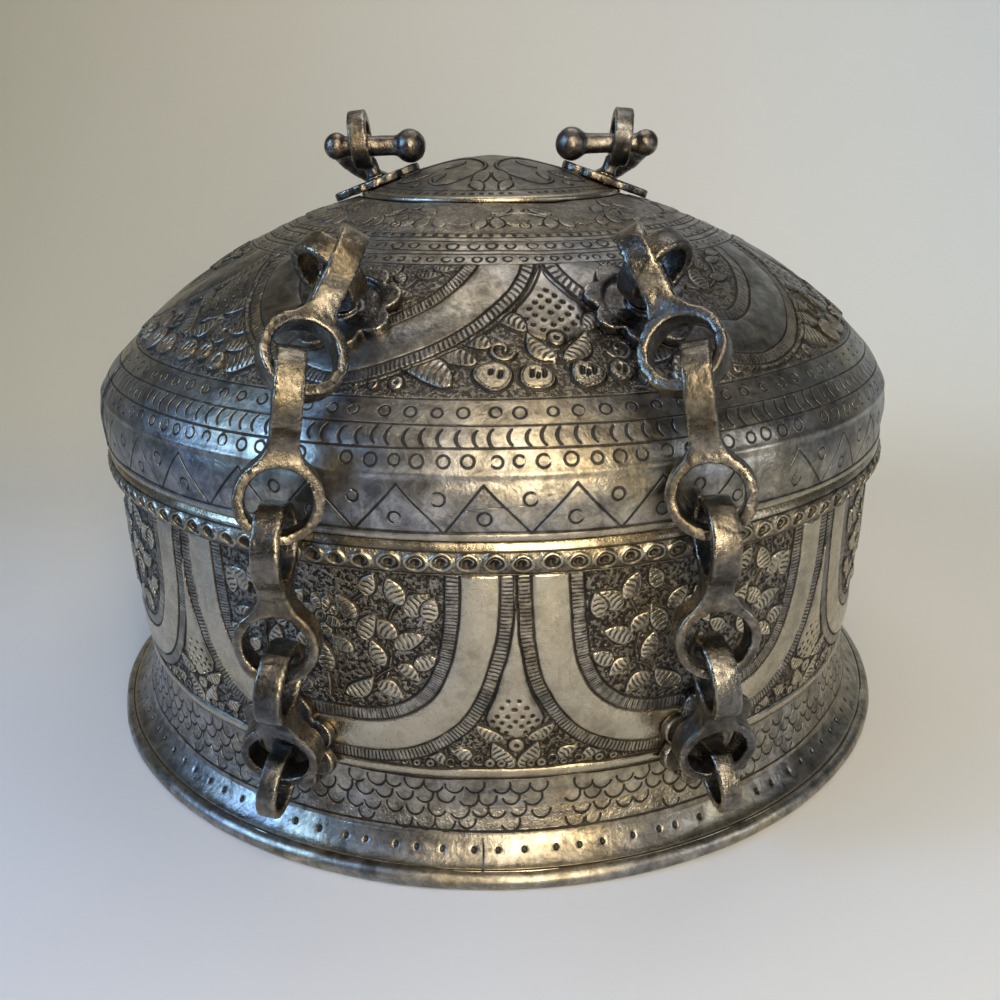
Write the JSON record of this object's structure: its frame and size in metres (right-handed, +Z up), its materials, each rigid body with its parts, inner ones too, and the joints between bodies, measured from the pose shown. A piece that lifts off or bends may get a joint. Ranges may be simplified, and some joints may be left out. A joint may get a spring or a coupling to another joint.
{
  "type": "paan box",
  "caption": "Round chased metal betel box with a domed lid that tips open, linked tether chains at the front, a folding bail on top and a lift-out tray inside",
  "frame": {"origin": "centre of the foot on the floor plane, under the middle of the bowl", "axes": "+Z up, -Y to the front where the chains hang, +X to the right seen from the front, along the lid and handle hinges"},
  "size_m": [0.279, 0.2847, 0.1991],
  "materials": {
    "chased_bowl": "aged tinned copper, chased, dark in the recesses",
    "foot": "aged tinned copper, worn bright at the edge",
    "worn_band": "tin worn through to warm metal on the high spots",
    "chased_lid": "aged tinned copper, chased, dark in the recesses",
    "plain_sheet": "plain aged tinned copper",
    "forged_links": "forged brass, worn, dark in the corners",
    "forged_rings": "forged brass, worn",
    "handle_bar": "forged brass, worn smooth",
    "rosettes": "aged tinned copper, worn",
    "burrs": "brass, hammered",
    "tinned_inside": "tinned, lightly tarnished"
  },
  "bodies": {
    "bowl": {"bowl_wall": "chased_bowl", "foot_flange": "foot", "foot_rim_wire": "foot", "bottom_plate": "plain_sheet", "eye_band": "worn_band", "inner_collar": "plain_sheet", "tray_ledge": "plain_sheet", "left_bowl_ring": "forged_rings", "right_bowl_ring": "forged_rings", "left_bowl_rosette": "rosettes", "right_bowl_rosette": "rosettes", "left_bowl_burr": "burrs", "right_bowl_burr": "burrs"},
    "lid": {"lid_shell": "chased_lid", "lid_top_disc": "chased_lid", "lid_hem": "plain_sheet", "left_lid_ring": "forged_rings", "right_lid_ring": "forged_rings", "left_lid_rosette": "rosettes", "right_lid_rosette": "rosettes", "left_lid_burr": "burrs", "right_lid_burr": "burrs", "left_handle_ring": "forged_rings", "right_handle_ring": "forged_rings", "left_handle_plate": "rosettes", "right_handle_plate": "rosettes", "left_handle_burr": "burrs", "right_handle_burr": "burrs"},
    "handle": {"bail_handle": "handle_bar"},
    "tray": {"leaf_tray": "tinned_inside", "front_cup": "tinned_inside", "back_cup": "tinned_inside", "left_cup": "tinned_inside", "right_cup": "tinned_inside", "tray_grip": "forged_rings"},
    "left_link1": {"left_link_1": "forged_links"},
    "left_link2": {"left_link_2": "forged_links"},
    "left_link3": {"left_link_3": "forged_links"},
    "left_link4": {"left_link_4": "forged_links"},
    "right_link1": {"right_link_1": "forged_links"},
    "right_link2": {"right_link_2": "forged_links"},
    "right_link3": {"right_link_3": "forged_links"},
    "right_link4": {"right_link_4": "forged_links"}
  },
  "joints": [
    {"name": "lid_open", "type": "hinge", "parent": "bowl", "child": "lid", "pos_m": [0, -0.1321, 0.0993], "axis": [1, 0, 0], "range_deg": [0, 100]},
    {"name": "handle_swing", "type": "hinge", "parent": "lid", "child": "handle", "pos_m": [0, 0, 0.18768], "axis": [1, 0, 0], "range_deg": [0, 148]},
    {"name": "tray_lift", "type": "slide", "parent": "bowl", "child": "tray", "axis": [0, 0, 1], "range_m": [0, 0.02]},
    {"name": "left_link1_turn", "type": "hinge", "parent": "lid", "child": "left_link1", "pos_m": [-0.03792, -0.10455, 0.16067], "axis": [1, 0, 0], "range_deg": [0, 8.7]},
    {"name": "left_link2_turn", "type": "hinge", "parent": "left_link1", "child": "left_link2", "pos_m": [-0.04775, -0.12865, 0.13634], "axis": [1, 0, 0], "range_deg": [-96.8, 0]},
    {"name": "left_link3_turn", "type": "hinge", "parent": "left_link2", "child": "left_link3", "pos_m": [-0.05295, -0.13371, 0.09981], "axis": [1, 0, 0], "range_deg": [-8.5, 0]},
    {"name": "left_link4_turn", "type": "hinge", "parent": "left_link3", "child": "left_link4", "pos_m": [-0.05491, -0.13399, 0.06262], "axis": [1, 0, 0], "range_deg": [0, 72.1]},
    {"name": "right_link1_turn", "type": "hinge", "parent": "lid", "child": "right_link1", "pos_m": [0.03792, -0.10455, 0.16067], "axis": [1, 0, 0], "range_deg": [0, 8.7]},
    {"name": "right_link2_turn", "type": "hinge", "parent": "right_link1", "child": "right_link2", "pos_m": [0.04775, -0.12865, 0.13634], "axis": [1, 0, 0], "range_deg": [-96.8, 0]},
    {"name": "right_link3_turn", "type": "hinge", "parent": "right_link2", "child": "right_link3", "pos_m": [0.05295, -0.13371, 0.09981], "axis": [1, 0, 0], "range_deg": [-8.5, 0]},
    {"name": "right_link4_turn", "type": "hinge", "parent": "right_link3", "child": "right_link4", "pos_m": [0.05491, -0.13399, 0.06262], "axis": [1, 0, 0], "range_deg": [0, 72.1]}
  ],
  "couplings": [
    {"joint": "left_link1_turn", "follows": "lid_open", "ratio": 0.077},
    {"joint": "left_link2_turn", "follows": "lid_open", "ratio": -0.958},
    {"joint": "left_link3_turn", "follows": "lid_open", "ratio": -0.075},
    {"joint": "left_link4_turn", "follows": "lid_open", "ratio": 0.711},
    {"joint": "right_link1_turn", "follows": "lid_open", "ratio": 0.077},
    {"joint": "right_link2_turn", "follows": "lid_open", "ratio": -0.958},
    {"joint": "right_link3_turn", "follows": "lid_open", "ratio": -0.075},
    {"joint": "right_link4_turn", "follows": "lid_open", "ratio": 0.711}
  ]
}
